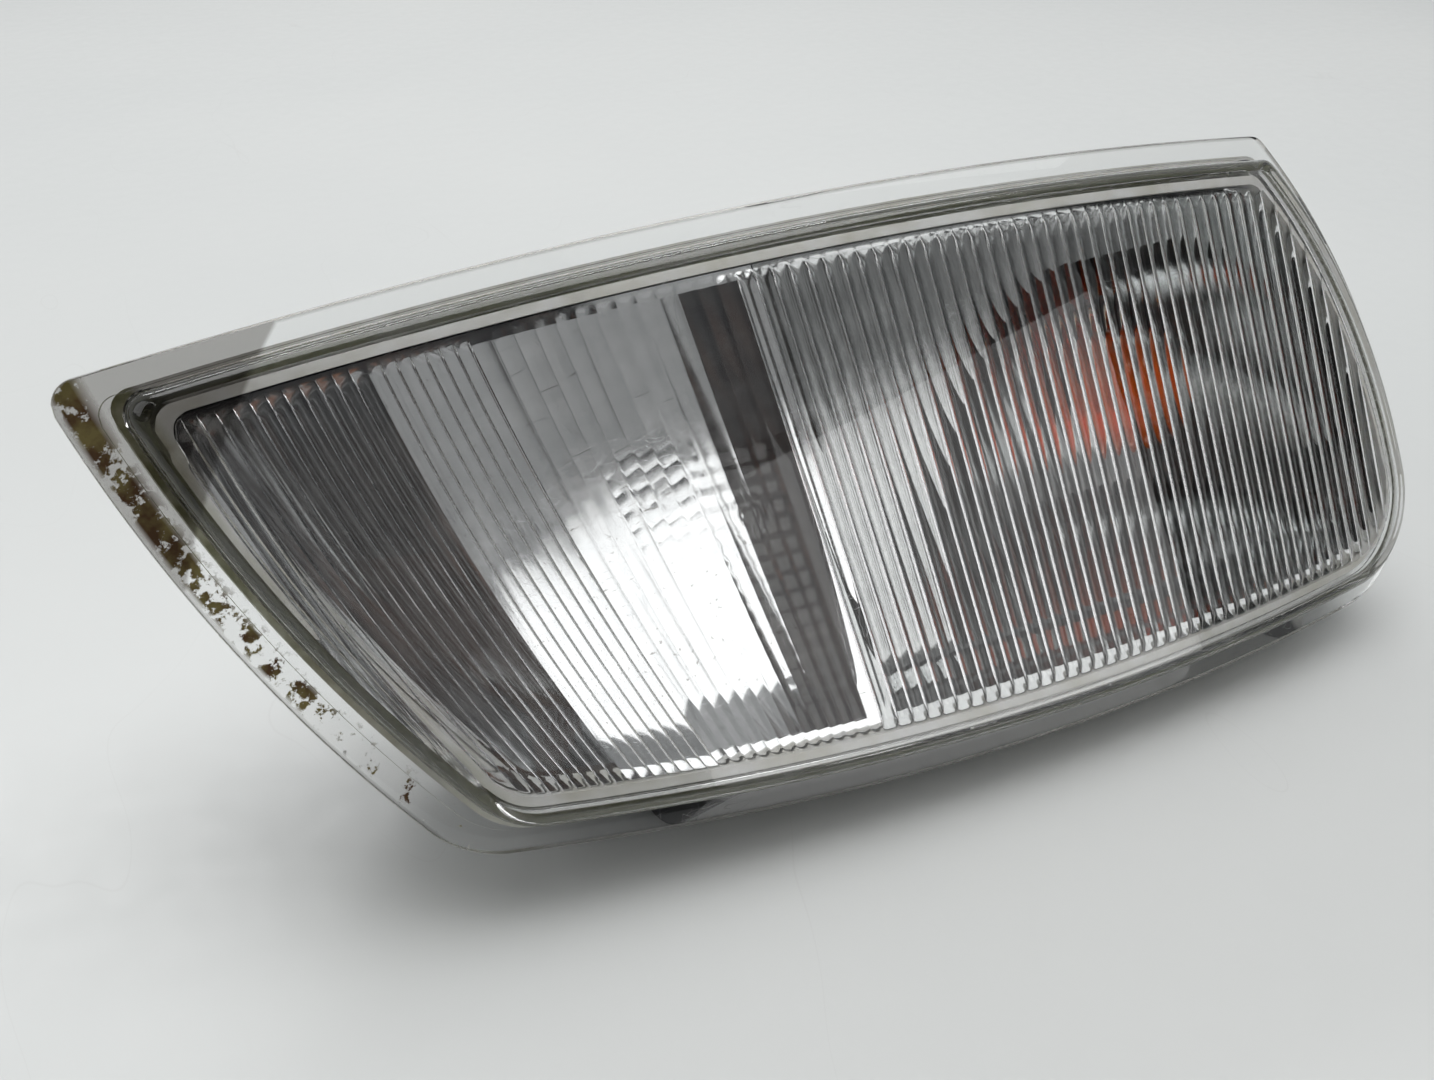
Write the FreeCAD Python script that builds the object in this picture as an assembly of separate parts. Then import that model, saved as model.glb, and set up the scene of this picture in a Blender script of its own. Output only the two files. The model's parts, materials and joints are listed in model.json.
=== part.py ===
"""Front corner turn-signal lamp: a clear fluted lens on a dark housing, with an
aluminised bowl and side reflector, an amber bayonet bulb and a twist-lock holder.

World frame: +Z up, -Y forward, +X to the right as seen from the front. The origin
lies on the flat underside of the housing, which the lamp stands on.
Lens frame: x along the lens, y up its leaning face, z out of the lens.
"""
import FreeCAD, Part
import math
import os

V = FreeCAD.Vector
X_AXIS = V(1, 0, 0)
Y_AXIS = V(0, 1, 0)
Z_AXIS = V(0, 0, 1)

# ---- driving dimensions, millimetres and degrees ----
LENS_RAKE = 26.0              # the lens leans back by this much
LENS_ORIGIN = V(0, -22, 55)   # middle of the lens in the world
DEPTH = 90.0                  # enough to pass right through the lamp
FLANGE_R = 800.0              # curvature of the flange's front, about an upright axis
FLANGE_T = 2.2
FACE_RISE = 5.5               # front of the fluted face above the flange
FACE_T = 2.7
FACE_EDGE_R = 2.4
SKIRT_IN = 5.0                # from the lens outline to the skirt's outer wall
SKIRT_T = 2.2
TONGUE_DEPTH = 8.0
LEFT_EXTRA = 3.3              # the flange is this much wider along its slanted left side

GROOVE_GAP = 0.2              # between the skirt and the groove's walls
GROOVE_DEPTH = 11.0
GROOVE_LIP = 1.2
WALL = 2.2                    # housing wall
HOUSING_IN = 6.0              # from the lens outline to the housing's outer wall
RIM_DEPTH = 13.0
THROAT_DEPTH = 24.0           # housing depth that runs square to the lens
BACK_Y = 38.4                 # outer face of the housing's back wall
BELLY_FRONT_Y = -26.0
BELLY_OUTLINE = ((-46.0, 0.0, -1), (102.0, 0.0, 1), (111.0, 14.0, 1), (111.0, 60.0, 1), (-72.0, 60.0, -1))

BULB_X = 66.0
BULB_Z = 42.0
FILAMENT_Y = 12.0
FOCAL = 18.0
BOWL_HOLE_R = 15.0
BOWL_Z = (14.0, 74.0)
MIRROR_T = 2.0
MIRROR_GAP = 0.3
MIRROR_IN = 11.5              # from the lens outline to the mirrors' inner walls
MIRROR_FRONT = 3.0            # mirrors start this far behind the flange front
LEDGE_DEPTH = 20.0            # front-facing ledge around the bowl
DIVIDER = ((-17.0, 45.0), (-5.0, -55.0))   # its top and bottom ends on the lens
WING_DEPTH = (20.0, 11.5)     # side mirror's depth at the divider and at the far end

CAP_R = 7.5
CAP_Y = (33.0, 50.5)
PIN_Y = 43.8                  # 31.8 behind the filament
PIN_R = 1.0
PIN_REACH = 8.5
PIN_ANGLES = (15.0, 165.0)
GLASS_R = 13.0
GLASS_T = 0.8
GLASS_NECK_R = 7.0
PUSH_TRAVEL = 2.0

HOLE_R = 18.0                 # bulb holder's hole in the housing
LUG_R = 20.6
LUG_SPAN = 26.0
LUG_COUNT = 3
UNLOCK_ANGLE = 50.0
TUBE_R = 17.7
GASKET_T = 2.0
HOLDER_FLANGE_R = 24.0
HOLDER_FLANGE_T = 3.0
HOLDER_BODY_R = 13.0
HOLDER_BORE_R = 9.2
SLEEVE_R = (7.58, 8.2)        # inner and outer radius
SLEEVE_Y = (34.0, 54.0)
PLUNGER_R = 4.82
CHAMBER_R = 4.9
CHAMBER_END_Y = 60.0
SPRING_R = 2.9
SPRING_WIRE_R = 0.28
SPRING_TURNS = 3.5
SPRING_STEPS = 12            # straight steps to a turn
SHROUD_Y = (62.0, 77.0)
SHROUD_X = 1.7                # the plug cavity's middle, off the bulb axis
SHROUD_SIZE = (21.0, 13.0)
SHROUD_WALL = 1.8
CAVITY_FLOOR_Y = 64.5
BLADE = (0.8, 4.8)            # thickness and width
BLADE_END_Y = 74.0
CENTRE_BLADE_X = -3.0
EARTH_BLADE_X = 6.4

TAB_X = 22.0
TAB_Z = 62.0
TAB_T = 3.0
TAB_REACH = 24.0
TAB_HOLE_Y = BACK_Y + 14.0
SCREW_HOLE_R = 3.25
BUSH_WALL = 0.9
PEG_R = 4.0
PEG_LENGTH = 12.0
PEG_PLACES = ((-84.0, 62.0), (-30.0, 20.0))
VENT_PLACE = (24.0, 26.0)
SCREW_PLACES = ((26.0, 56.0), (93.0, 62.0), (93.0, 22.0))
CLIP_X = -34.0
CLIP_Z = 62.0
CLIP_WIDTH = 14.0
CLIP_T = 0.9

os.makedirs("parts", exist_ok=True)


# ---- small helpers ----
def box(x, y, z):
    """Box from three (low, high) pairs."""
    size = [hi - lo for lo, hi in (x, y, z)]
    return Part.makeBox(size[0], size[1], size[2], V(x[0], y[0], z[0]))


def fuse(shapes):
    """One solid out of several."""
    result = shapes[0].multiFuse(shapes[1:]) if len(shapes) > 1 else shapes[0]
    return result.removeSplitter()


def along_bulb(radius, y_low, y_high):
    """Cylinder on the bulb's axis."""
    return Part.makeCylinder(radius, y_high - y_low, V(BULB_X, y_low, BULB_Z), Y_AXIS)


def ring(r_in, r_out, y_low, y_high):
    """Plain ring on the bulb's axis."""
    return along_bulb(r_out, y_low, y_high).cut(along_bulb(r_in, y_low - 1, y_high + 1))


def revolve_bulb(profile):
    """Solid of revolution on the bulb's axis from (radius, y) corners."""
    corners = [V(BULB_X + r, y, BULB_Z) for r, y in profile]
    face = Part.Face(Part.makePolygon(corners + corners[:1]))
    return face.revolve(V(BULB_X, 0, BULB_Z), Y_AXIS, 360)


def turned(shape, angle):
    """Copy turned about the bulb's axis."""
    copy = shape.copy()
    copy.rotate(V(BULB_X, 0, BULB_Z), Y_AXIS, angle)
    return copy


def rounded(solid, corners, axis):
    """Round the edges of a prism that run along axis through the given (point, radius)s."""
    for point, radius in corners:
        near = [e for e in solid.Edges if abs(e.tangentAt(e.FirstParameter).dot(axis)) > 0.999
                and e.distToShape(Part.Vertex(point))[0] < 0.5]
        solid = solid.makeFillet(radius, near)
    return solid


def save(name, shape, merge=True):
    """Write one sub-part, with the faces that continue each other merged unless told not to."""
    if merge:
        shape = shape.removeSplitter()
    solids = [s for s in shape.Solids if s.Volume > 0.01]
    whole = solids[0] if len(solids) == 1 else Part.makeCompound(solids)
    assert all(s.isValid() for s in solids), name
    whole.exportStep("parts/" + name + ".step")
    print(name, len(solids), "solid(s)", round(sum(s.Volume for s in solids) / 1000, 2), "cm3")


# ---- the lens outline: four arcs, each moved inwards by its own inset ----
SIDES = {
    "top": ((-121.5, 42.0), (-18.0, 50.9), (90.0, 49.8)),
    "right": ((95.0, 48.5), (115.0, 18.0), (126.0, -24.0)),
    "bottom": ((110.0, -46.5), (50.0, -50.8), (-64.0, -45.2)),
    "left": ((-88.6, -34.0), (-113.4, 8.0), (-125.0, 38.0)),
}
MIN_CORNER_R = 3.2
CORNER_RADII = {"top right": 4.0, "bottom right": 24.0, "bottom left": 18.0, "top left": 4.0}


def circle_of(a, b, c):
    """Centre and radius of the circle through three points."""
    circle = Part.Arc(V(a[0], a[1], 0), V(b[0], b[1], 0), V(c[0], c[1], 0)).toShape().Curve
    return circle.Center, circle.Radius


def corner_between(first, second, near):
    """Where two circles cross, nearest to a given point."""
    (c1, r1), (c2, r2) = first, second
    gap = (c2 - c1).Length
    along = (r1 ** 2 - r2 ** 2 + gap ** 2) / (2 * gap)
    off = math.sqrt(r1 ** 2 - along ** 2)
    ex = (c2 - c1) * (1 / gap)
    ey = V(-ex.y, ex.x, 0)
    options = [c1 + ex * along + ey * off, c1 + ex * along - ey * off]
    return min(options, key=lambda p: (p - near).Length)


def arc_between(circle, start, end):
    """Arc of a circle from start to end by the short way."""
    centre, radius = circle
    middle = (start + end) * 0.5 - centre
    middle.normalize()
    return Part.Arc(start, centre + middle * radius, end).toShape()


def lens_prism(inset, z_low, z_high, left_extra=0.0):
    """Prism of the lens outline moved inwards, square to the lens, in the lens frame."""
    circles = {}
    for side, points in SIDES.items():
        centre, radius = circle_of(*points)
        extra = left_extra if side == "left" else 0.0
        circles[side] = (centre, radius - inset - extra)
    corners = {
        "top right": corner_between(circles["top"], circles["right"], V(94, 50, 0)),
        "bottom right": corner_between(circles["right"], circles["bottom"], V(126, -46, 0)),
        "bottom left": corner_between(circles["bottom"], circles["left"], V(-84, -44, 0)),
        "top left": corner_between(circles["left"], circles["top"], V(-126, 42, 0)),
    }
    edges = [
        arc_between(circles["top"], corners["top left"], corners["top right"]),
        arc_between(circles["right"], corners["top right"], corners["bottom right"]),
        arc_between(circles["bottom"], corners["bottom right"], corners["bottom left"]),
        arc_between(circles["left"], corners["bottom left"], corners["top left"]),
    ]
    face = Part.Face(Part.Wire(edges))
    face.translate(V(0, 0, z_low))
    solid = face.extrude(V(0, 0, z_high - z_low))
    marks = [(corners[name] + V(0, 0, z_low), max(CORNER_RADII[name] - inset, MIN_CORNER_R))
             for name in corners]
    return rounded(solid, marks, Z_AXIS)


def lens_drum(rise):
    """Round body whose surface lies rise above the flange's front, in the lens frame."""
    drum = Part.makeCylinder(FLANGE_R + rise, 400, V(0, -200, -FLANGE_R), Y_AXIS)
    drum.rotate(V(0, 0, -FLANGE_R), Y_AXIS, 180)
    return drum


def layer(prism, low, high):
    """The part of a prism between two depths below the flange's curved front."""
    return prism.common(lens_drum(high)).cut(lens_drum(low))


def to_world(shape):
    """Lens frame to world."""
    copy = shape.copy()
    copy.rotate(V(0, 0, 0), X_AXIS, 90 - LENS_RAKE)
    copy.translate(LENS_ORIGIN)
    return copy


def inner_prism(inset, low=-DEPTH, high=20.0):
    """Outline prism behind the lens, with the wide flange on its left."""
    return lens_prism(inset, low, high, LEFT_EXTRA)


# ---- lens and seal ----
def make_lens():
    flange = layer(lens_prism(0.0, -30, 20), -FLANGE_T, 0)
    body = layer(inner_prism(SKIRT_IN, -40), -TONGUE_DEPTH, FACE_RISE)
    top_edges = [e for e in body.Edges
                 if abs(e.CenterOfMass.z + e.CenterOfMass.x ** 2 / (2 * FLANGE_R) - FACE_RISE) < 1.5]
    body = body.makeFillet(FACE_EDGE_R, top_edges)
    hollow = inner_prism(SKIRT_IN + SKIRT_T, -60).common(lens_drum(FACE_RISE - FACE_T))
    return to_world(flange.fuse(body).cut(hollow))


def make_seal():
    outer = inner_prism(SKIRT_IN - GROOVE_GAP, -40)
    inner = inner_prism(SKIRT_IN + SKIRT_T + 2 * GROOVE_GAP, -60)
    return to_world(layer(outer.cut(inner), -GROOVE_DEPTH, -TONGUE_DEPTH))


# ---- housing ----
def housing_plan(grow):
    """Top view of the housing as an upright prism, grown by a wall or not."""
    right = 117.5 + grow
    back = BACK_Y + grow
    corners = [V(right, -80, -5), V(right, 2, -5), V(106 + grow, back, -5), V(12, back, -5),
               V(-72, 23 + grow, -5), V(-121 - grow, 17.5 + grow, -5), V(-121 - grow, -80, -5)]
    prism = Part.Face(Part.makePolygon(corners + corners[:1])).extrude(V(0, 0, 130))
    marks = [(corners[1], 14.0), (corners[2], 9.0), (corners[3], 20.0)]
    return rounded(prism, marks, Z_AXIS)


def housing_profile(grow):
    """Side view of the housing as a prism across it."""
    corners = [V(-150, -80, 9 - grow), V(-150, BELLY_FRONT_Y - grow, 9 - grow),
               V(-150, BELLY_FRONT_Y - grow, -grow), V(-150, BACK_Y + grow, -grow),
               V(-150, BACK_Y + grow, 76 + grow), V(-150, 12, 97 + grow), V(-150, -80, 97 + grow)]
    prism = Part.Face(Part.makePolygon(corners + corners[:1])).extrude(V(300, 0, 0))
    marks = [(corners[3], 5.0), (corners[4], 8.0)]
    return rounded(prism, marks, X_AXIS)


def housing_belly(grow):
    """Flat-bottomed lower part of the housing, drawn as seen from the front."""
    front = BELLY_FRONT_Y - grow
    corners = [V(x + grow * side, front, z - (grow if z == 0 else 0)) for x, z, side in BELLY_OUTLINE]
    prism = Part.Face(Part.makePolygon(corners + corners[:1]))
    prism = prism.extrude(V(0, BACK_Y + grow - front, 0))
    marks = [(corners[0], 8.0 + grow), (corners[1], 8.0 + grow), (corners[2], 10.0)]
    return rounded(prism, marks, Y_AXIS).common(to_world(lens_drum(-RIM_DEPTH - grow)))


def housing_body(grow, throat_inset):
    """Solid form of the housing behind the lens; grow is 0 outside and -WALL inside."""
    throat = to_world(layer(inner_prism(throat_inset), -THROAT_DEPTH - grow, 0))
    mouth = max(to_world(inner_prism(throat_inset, -1, 0)).Faces, key=lambda f: f.Area)
    tunnel = mouth.extrude(V(0, 100, 0)).common(to_world(lens_drum(-8.0)))
    form = throat.fuse([tunnel, housing_belly(grow)]).common(housing_roof(throat_inset))
    return form.common(housing_plan(grow)).common(housing_profile(grow))


def housing_roof(inset):
    """Everything under the lens's top edge, carried straight back from the lens."""
    centre, radius = circle_of(*SIDES["top"])
    return to_world(Part.makeCylinder(radius - inset, 400, V(centre.x, centre.y, -200), Z_AXIS))


def make_housing():
    """Housing shell as two nodes: its walls, and its back wall with what stands on it."""
    outside = housing_body(0.0, HOUSING_IN)
    rim_outer = inner_prism(SKIRT_IN - GROOVE_GAP - GROOVE_LIP, -40)
    rim = to_world(layer(rim_outer, -RIM_DEPTH, -FLANGE_T - 0.3))
    inside = housing_body(-WALL, HOUSING_IN + WALL + 1.0)
    front = to_world(inner_prism(HOUSING_IN + WALL + 1.0, -20, 40))
    groove_prism = inner_prism(SKIRT_IN - GROOVE_GAP, -40).cut(
        inner_prism(SKIRT_IN + SKIRT_T + 2 * GROOVE_GAP, -60))
    groove = to_world(layer(groove_prism, -GROOVE_DEPTH, 20))
    shell = outside.fuse(rim).cut(inside).cut(front).cut(groove)
    behind = behind_back_wall()
    back = shell.common(behind).fuse(make_tab()).fuse(make_pegs()).fuse(make_clip_boss())
    hole = along_bulb(HOLE_R, BACK_Y - 10, BACK_Y + 10)
    notch = sector(LUG_R + 0.4, LUG_SPAN + 4, BACK_Y - 10, BACK_Y + 10)
    notches = [turned(notch, -UNLOCK_ANGLE + k * 360 / LUG_COUNT) for k in range(LUG_COUNT)]
    cuts = [hole, Part.makeCylinder(SCREW_HOLE_R + BUSH_WALL, 20,
                                    V(TAB_X, TAB_HOLE_Y, TAB_Z - 10), Z_AXIS)]
    cuts += [Part.makeCylinder(1.7, 20, V(x, BACK_Y - 10, z), Y_AXIS) for x, z in SCREW_PLACES]
    cuts += [Part.makeCylinder(3.0, 20, V(VENT_PLACE[0], BACK_Y - 10, VENT_PLACE[1]), Y_AXIS)]
    save("housing", shell.cut(behind), merge=False)
    save("housing_back", back.cut(cuts + notches))


def behind_back_wall():
    """Everything behind the inner face of the housing's back wall."""
    inner = BACK_Y - WALL - 0.4
    corners = [V(x, y, -5) for x, y in ((-150, back_of(-150) - WALL - 0.4), (12, inner), (150, inner),
                                        (150, 100), (-150, 100))]
    return Part.Face(Part.makePolygon(corners + corners[:1])).extrude(V(0, 0, 120))


def sector(radius, span, y_low, y_high):
    """Pie slice about the bulb's axis, centred on the upward direction."""
    wedge = Part.makeCylinder(radius, y_high - y_low, V(0, 0, 0), Z_AXIS, span)
    wedge.rotate(V(0, 0, 0), Z_AXIS, 90 - span / 2)
    wedge.rotate(V(0, 0, 0), X_AXIS, 90)
    wedge.translate(V(BULB_X, y_high, BULB_Z))
    return wedge


def make_tab():
    """Horizontal screw tab with two gussets on the housing's back."""
    plate = box((TAB_X - 10, TAB_X + 10), (BACK_Y - 1, BACK_Y + TAB_REACH), (TAB_Z, TAB_Z + TAB_T))
    ends = [(V(TAB_X - 10, BACK_Y + TAB_REACH, TAB_Z), 8.0),
            (V(TAB_X + 10, BACK_Y + TAB_REACH, TAB_Z), 8.0)]
    tab = [rounded(plate, ends, Z_AXIS)]
    for x in (TAB_X - 10, TAB_X + 8):
        corners = [V(x, BACK_Y - 1, TAB_Z + 1), V(x, BACK_Y + 14, TAB_Z + 1), V(x, BACK_Y - 1, TAB_Z - 15)]
        tab.append(Part.Face(Part.makePolygon(corners + corners[:1])).extrude(V(2, 0, 0)))
    return fuse(tab)


def back_of(x):
    """The y of the housing's back face on its shallow left side."""
    return BACK_Y + (x - 12) * (BACK_Y - 23) / 84.0


def make_pegs():
    """Two locating pegs, with rounded ends, that plug into the car's body."""
    pegs = []
    for x, z in PEG_PLACES:
        y = back_of(x)
        peg = Part.makeCylinder(PEG_R, PEG_LENGTH + 6, V(x, y - 2, z), Y_AXIS)
        tip = [e for e in peg.Edges if abs(e.CenterOfMass.y - y - PEG_LENGTH - 4) < 0.1]
        foot = Part.makeCone(8.0, 6.0, 5.0, V(x, y - 2, z), Y_AXIS)
        pegs.append(peg.makeChamfer(1.0, tip[:1]).fuse(foot))
    return pegs[0].fuse(pegs[1:])


def clip_frame(shape):
    """Place a shape drawn against a wall at y = 0 on the housing's slanted back."""
    angle = math.degrees(math.atan2(BACK_Y - 23, 84.0))
    copy = shape.copy()
    copy.rotate(V(0, 0, 0), Z_AXIS, angle)
    copy.translate(V(CLIP_X, back_of(CLIP_X), CLIP_Z))
    return copy


def make_clip_boss():
    """Raised pad with two fences that the spring clip sits between."""
    pad = box((-13, 11), (-1.5, 2.0), (-9, 9))
    fences = [box((-13, 11), (2.0, 4.0), (s * 8 - 1, s * 8 + 1)) for s in (-1, 1)]
    return clip_frame(fuse([pad] + fences))


# ---- mirrors ----
def paraboloid(vertex_y, reach):
    """Solid bowl in front of a parabola that opens towards -Y."""
    steps = 14
    points = []
    for k in range(steps + 1):
        r = reach * k / steps
        points.append(V(BULB_X + r, vertex_y - r * r / (4 * FOCAL), BULB_Z))
    curve = Part.BSplineCurve()
    curve.interpolate(points)
    rim = points[-1]
    front = V(BULB_X, rim.y, BULB_Z)
    wire = Part.Wire([curve.toShape(), Part.makeLine(rim, front), Part.makeLine(front, points[0])])
    return Part.Face(wire).revolve(V(BULB_X, 0, BULB_Z), Y_AXIS, 360)


def right_of_divider(offset):
    """Half space to the right of the divider, moved right by offset, in the lens frame."""
    top, bottom = [V(x, y, 0) for x, y in DIVIDER]
    lean = top - bottom
    lean.normalize()
    side = V(lean.y, -lean.x, 0)
    start = bottom - lean * 60 + side * offset
    corners = [start, start + lean * 260, start + lean * 260 + side * 260, start + side * 260]
    corners = [c - V(0, 0, 150) for c in corners]
    return Part.Face(Part.makePolygon(corners + corners[:1])).extrude(V(0, 0, 250))


def bowl_form(grow):
    """Front box and parabolic bowl of the main mirror as one solid form."""
    inset = MIRROR_IN - grow
    half = right_of_divider(MIRROR_T - grow)
    throat = to_world(layer(inner_prism(inset).common(half), -LEDGE_DEPTH - grow, 8))
    vertex = FILAMENT_Y + FOCAL + grow
    dish = paraboloid(vertex, 82.0)
    slab = box((-40, 113 + grow), (-80, 60), (BOWL_Z[0] - grow, BOWL_Z[1] + grow))
    bowl = dish.common(slab).common(to_world(half)).common(to_world(lens_drum(-LEDGE_DEPTH + 4)))
    room = housing_body(grow - MIRROR_T - MIRROR_GAP - WALL, inset)
    return throat.fuse(bowl).common(room)


def make_main_reflector():
    outside = bowl_form(MIRROR_T)
    bosses = [Part.makeCylinder(4.0, BACK_Y - WALL + 30, V(x, -30, z), Y_AXIS) for x, z in SCREW_PLACES]
    pilots = [Part.makeCylinder(1.5, 12, V(x, BACK_Y - WALL - 9, z), Y_AXIS) for x, z in SCREW_PLACES]
    behind = to_world(lens_drum(-LEDGE_DEPTH - 1))
    bosses = [b.common(behind) for b in bosses]
    front = to_world(layer(inner_prism(0, -60, 60), -MIRROR_FRONT, 60))
    shell = outside.fuse(bosses).cut([bowl_form(0.0), front] + pilots)
    return shell.cut(along_bulb(BOWL_HOLE_R, 0, 60))


def wing_form(grow):
    """Shallow tray of the side mirror as a solid form, in the lens frame."""
    beyond = right_of_divider(-0.3 - MIRROR_T + grow)
    tray = layer(inner_prism(MIRROR_IN - grow).cut(beyond), -60, 8)
    near, far = WING_DEPTH
    corners = [V(0, -90, -near - grow), V(-130, -90, -far - grow - 9), V(-130, -90, 60), V(0, -90, 60)]
    keep = Part.Face(Part.makePolygon(corners + corners[:1])).extrude(V(0, 180, 0))
    return tray.common(keep)


def make_side_reflector():
    front = layer(inner_prism(0, -60, 60), -MIRROR_FRONT, 60)
    return to_world(wing_form(MIRROR_T).cut(wing_form(0.0)).cut(front))


# ---- bulb ----
def glass_profile(shrink):
    """Outline of the pear-shaped bulb from its tip to its neck, as (radius, y)."""
    r = GLASS_R - shrink
    neck = GLASS_NECK_R - shrink
    points = []
    for k in range(13):
        a = math.radians(128 * k / 12)
        points.append((r * math.sin(a), FILAMENT_Y - r * math.cos(a)))
    points.append((neck, FILAMENT_Y + 14.5))
    return points


def glass_solid(shrink, end_y):
    """Solid bulb shape with a smooth pear outline."""
    points = [V(BULB_X + r, y, BULB_Z) for r, y in glass_profile(shrink)]
    curve = Part.BSplineCurve()
    curve.interpolate(points)
    neck = points[-1]
    end = V(neck.x, end_y, BULB_Z)
    axis_end = V(BULB_X, end_y, BULB_Z)
    wire = Part.Wire([curve.toShape(), Part.makeLine(neck, end), Part.makeLine(end, axis_end),
                      Part.makeLine(axis_end, points[0])])
    return Part.Face(wire).revolve(V(BULB_X, 0, BULB_Z), Y_AXIS, 360)


def make_bulb():
    inside_cap = CAP_R - 0.5
    save("bulb_glass", glass_solid(0, CAP_Y[0] + 4).cut(glass_solid(GLASS_T, CAP_Y[0] + 5)))
    stem_r = GLASS_NECK_R - GLASS_T - 1.5
    stem = revolve_bulb([(0, 24), (2.2, 24), (2.6, 28), (stem_r, 37), (stem_r, 39), (0, 39)])
    wires = [lead_wire(side) for side in (-1, 1)]
    save("bulb_stem", stem.cut(wires))
    save("bulb_lead_wires", wires[0].fuse(wires[1]))
    save("bulb_filament", make_filament())
    cap = revolve_bulb([(inside_cap, CAP_Y[0]), (CAP_R, CAP_Y[0]), (CAP_R, CAP_Y[1] - 1),
                        (CAP_R - 0.7, CAP_Y[1]), (5.6, CAP_Y[1]), (5.6, CAP_Y[1] - 0.6),
                        (inside_cap, CAP_Y[1] - 1.4)])
    pins = [bulb_pin(a) for a in PIN_ANGLES]
    save("bulb_cap", cap.cut(pins))
    save("bulb_pins", pins[0].fuse(pins[1]))
    end = CAP_Y[1]
    save("bulb_insulator", revolve_bulb([(2.0, end - 0.5), (5.6, end - 0.5), (5.6, end), (4.0, end + 1),
                                         (2.0, end + 1)]))
    save("bulb_contact", revolve_bulb([(0, end - 0.5), (2.0, end - 0.5), (2.0, end + 1.4),
                                       (1.2, end + 1.95), (0, end + 1.95)]))


def lead_wire(side):
    """Support wire from the stem to one end of the filament."""
    r = 0.35
    foot = V(BULB_X + side * 1.2, 26, BULB_Z)
    knee = V(BULB_X + side * 3.2, FILAMENT_Y + 1, BULB_Z)
    rod = Part.makeCylinder(r, (knee - foot).Length, foot, knee - foot)
    hook = Part.makeCylinder(r, 1.0, V(knee.x, FILAMENT_Y + 0.95, BULB_Z), -Y_AXIS)
    return rod.fuse([Part.makeSphere(r, knee), hook])


def make_filament():
    """Coiled filament as a bowed row of turns between the lead wires."""
    turns = 9
    span = 5.6
    rings = [Part.makeTorus(0.42, 0.16, V(BULB_X - span / 2 + span * k / (turns - 1), FILAMENT_Y, BULB_Z),
                            V(1, 0.0, 0.12)) for k in range(turns)]
    core = Part.makeCylinder(0.3, span, V(BULB_X - span / 2, FILAMENT_Y, BULB_Z), X_AXIS)
    coil = rings[0].fuse(rings[1:]).fuse(core)
    return coil.cut([lead_wire(side) for side in (-1, 1)])


def bulb_pin(angle):
    """Bayonet pin set in the cap's wall."""
    start = CAP_R - 0.5
    pin = Part.makeCylinder(PIN_R, PIN_REACH - start, V(BULB_X + start, PIN_Y, BULB_Z), X_AXIS)
    return turned(pin, -angle)


# ---- bulb holder ----
def make_sleeve():
    """Metal bayonet sleeve with two J-shaped slots."""
    tube = ring(SLEEVE_R[0], SLEEVE_R[1], SLEEVE_Y[0], SLEEVE_Y[1])
    collar = ring(SLEEVE_R[1] - 0.1, HOLDER_BORE_R, SLEEVE_Y[1] - 0.7, SLEEVE_Y[1])
    half = PIN_R + 0.15
    deep = PIN_Y + PUSH_TRAVEL + half
    hook = box((5, 12), (PIN_Y - half, deep), (-half, half))
    entry = box((5, 12), (SLEEVE_Y[0] - 1, deep), (-half, half))
    turn = 22.0
    cuts = []
    for angle in PIN_ANGLES:
        for shape, extra in ((hook, 0.0), (entry, turn)):
            moved = shape.translated(V(BULB_X, 0, BULB_Z))
            cuts.append(turned(moved, -angle - extra))
        for k in range(1, 5):
            link = box((5, 12), (deep - 2 * half, deep), (-half, half)).translated(V(BULB_X, 0, BULB_Z))
            cuts.append(turned(link, -angle - turn * k / 5))
    return tube.fuse(collar).cut(cuts)


def make_holder_body():
    front = CAP_Y[0]
    seat = BACK_Y + GASKET_T
    flange_end = seat + HOLDER_FLANGE_T
    body = revolve_bulb([(0, front), (TUBE_R, front), (TUBE_R, seat), (HOLDER_FLANGE_R, seat),
                         (HOLDER_FLANGE_R, flange_end), (HOLDER_BODY_R, flange_end),
                         (HOLDER_BODY_R - 1, SHROUD_Y[0]), (0, SHROUD_Y[0])])
    lug = sector(LUG_R, LUG_SPAN, BACK_Y - WALL - 3.2, BACK_Y - WALL - 0.1)
    lugs = [turned(lug, k * 360 / LUG_COUNT) for k in range(LUG_COUNT)]
    grips = [box((BULB_X - 21, BULB_X + 21), (flange_end - 1, flange_end + 12),
                 (BULB_Z + s * 5 - 1.2, BULB_Z + s * 5 + 1.2)) for s in (-1, 1)]
    half_x = SHROUD_SIZE[0] / 2
    half_z = SHROUD_SIZE[1] / 2
    middle = BULB_X + SHROUD_X
    shroud = box((middle - half_x, middle + half_x), SHROUD_Y, (BULB_Z - half_z, BULB_Z + half_z))
    corners = [(V(middle + a * half_x, SHROUD_Y[0], BULB_Z + b * half_z), 2.0) for a in (-1, 1) for b in (-1, 1)]
    shroud = rounded(shroud, corners, Y_AXIS)
    latch = box((middle - 3, middle + 3), (SHROUD_Y[0] + 6, SHROUD_Y[0] + 9),
                (BULB_Z + half_z - 0.5, BULB_Z + half_z + 1.6))
    body = body.fuse(lugs + grips + [shroud, latch])
    inner_x = half_x - SHROUD_WALL
    inner_z = half_z - SHROUD_WALL
    cavity = box((middle - inner_x, middle + inner_x), (CAVITY_FLOOR_Y, SHROUD_Y[1] + 1),
                 (BULB_Z - inner_z, BULB_Z + inner_z))
    bore = along_bulb(HOLDER_BORE_R, front - 1, SLEEVE_Y[1])
    chamber = along_bulb(CHAMBER_R, SLEEVE_Y[1] - 1, CHAMBER_END_Y)
    pocket = ring(11.0, 15.6, front - 1, BACK_Y)
    return body.cut([bore, chamber, cavity, pocket])


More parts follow.
